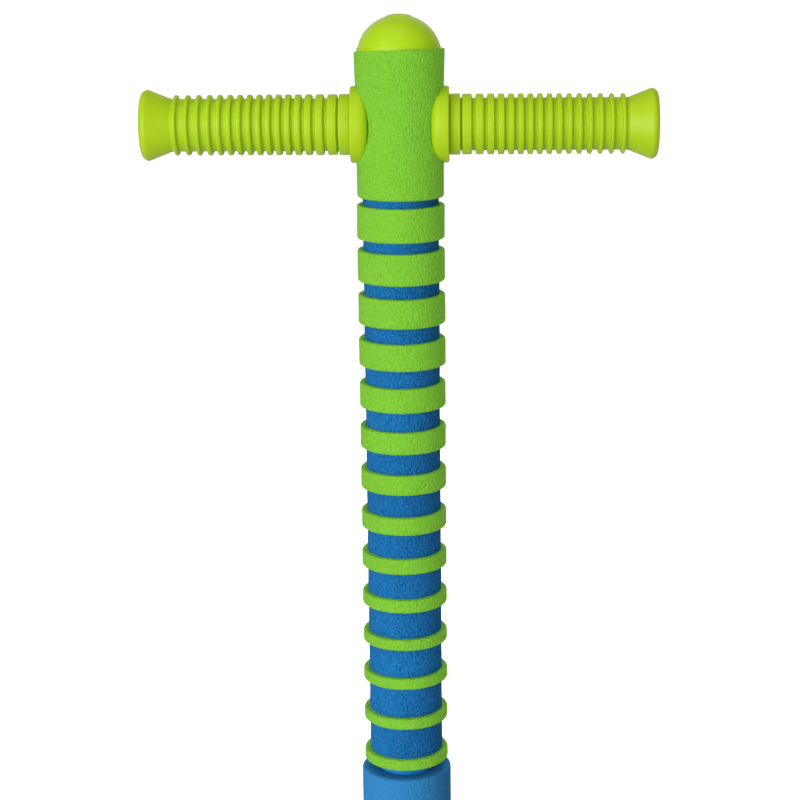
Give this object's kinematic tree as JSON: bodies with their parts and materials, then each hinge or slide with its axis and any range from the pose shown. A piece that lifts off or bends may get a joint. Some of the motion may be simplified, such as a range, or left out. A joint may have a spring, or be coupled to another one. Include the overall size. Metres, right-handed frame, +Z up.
{
  "type": "pogo stick",
  "caption": "Child's pogo stick: foam-ringed upright tube with T-handle grips and dome cap, foot pegs, and a sprung plunger on a wide rubber foot.",
  "frame": {"origin": "centre of the rubber foot's sole, on the ground, at the bottom centre of the bounding box", "axes": "+Z up along the stick, +X along the handlebar towards the right-hand grip, +Y away from the viewer"},
  "size_m": [0.27, 0.066, 0.8572],
  "materials": {
    "lime_plastic": "satin",
    "green_foam": "matte",
    "blue_foam": "matte",
    "smooth_blue_foam": "matte",
    "blue_paint": "gloss",
    "blue_rubber": "matte",
    "raw_steel": "satin",
    "zinc_steel": "gloss",
    "chrome": "polished",
    "white_nylon": "satin",
    "black_nylon": "satin",
    "black_rubber": "matte"
  },
  "bodies": {
    "frame": {"top_cap": "lime_plastic", "grip_left": "lime_plastic", "grip_right": "lime_plastic", "grip_flange_left": "lime_plastic", "grip_flange_right": "lime_plastic", "hub_shell_front": "lime_plastic", "hub_shell_rear": "lime_plastic", "foot_peg_left": "lime_plastic", "foot_peg_right": "lime_plastic", "top_sleeve": "green_foam", "foam_ring_01": "green_foam", "foam_ring_02": "green_foam", "foam_ring_03": "green_foam", "foam_ring_04": "green_foam", "foam_ring_05": "green_foam", "foam_ring_06": "green_foam", "foam_ring_07": "green_foam", "foam_ring_08": "green_foam", "foam_ring_09": "green_foam", "foam_ring_10": "green_foam", "foam_ring_11": "green_foam", "foam_ring_12": "green_foam", "foam_ring_13": "green_foam", "foam_ring_14": "green_foam", "foam_core": "blue_foam", "lower_sleeve": "smooth_blue_foam", "main_tube": "blue_paint", "peg_tread_left": "blue_rubber", "peg_tread_right": "blue_rubber", "handle_bar": "raw_steel", "peg_frame": "raw_steel", "spring_seat": "raw_steel", "spring": "raw_steel", "handle_bolt": "zinc_steel", "handle_nut": "zinc_steel", "hub_screws": "zinc_steel", "peg_screws": "zinc_steel", "seat_bolt": "zinc_steel", "seat_nut": "zinc_steel", "bush_screws": "zinc_steel", "guide_bush": "black_nylon", "rebound_ring": "black_rubber"},
    "plunger": {"plunger_tube": "chrome", "piston": "white_nylon", "piston_pin": "zinc_steel", "tip_washer": "zinc_steel", "rubber_foot": "black_rubber", "bump_stop": "black_rubber"}
  },
  "joints": [
    {"name": "plunger_slide", "type": "slide", "parent": "frame", "child": "plunger", "axis": [0, 0, 1], "range_m": [0, 0.08], "stiffness_N_per_m": 8000, "springref_m": -0.01, "deforming": ["spring"]}
  ]
}
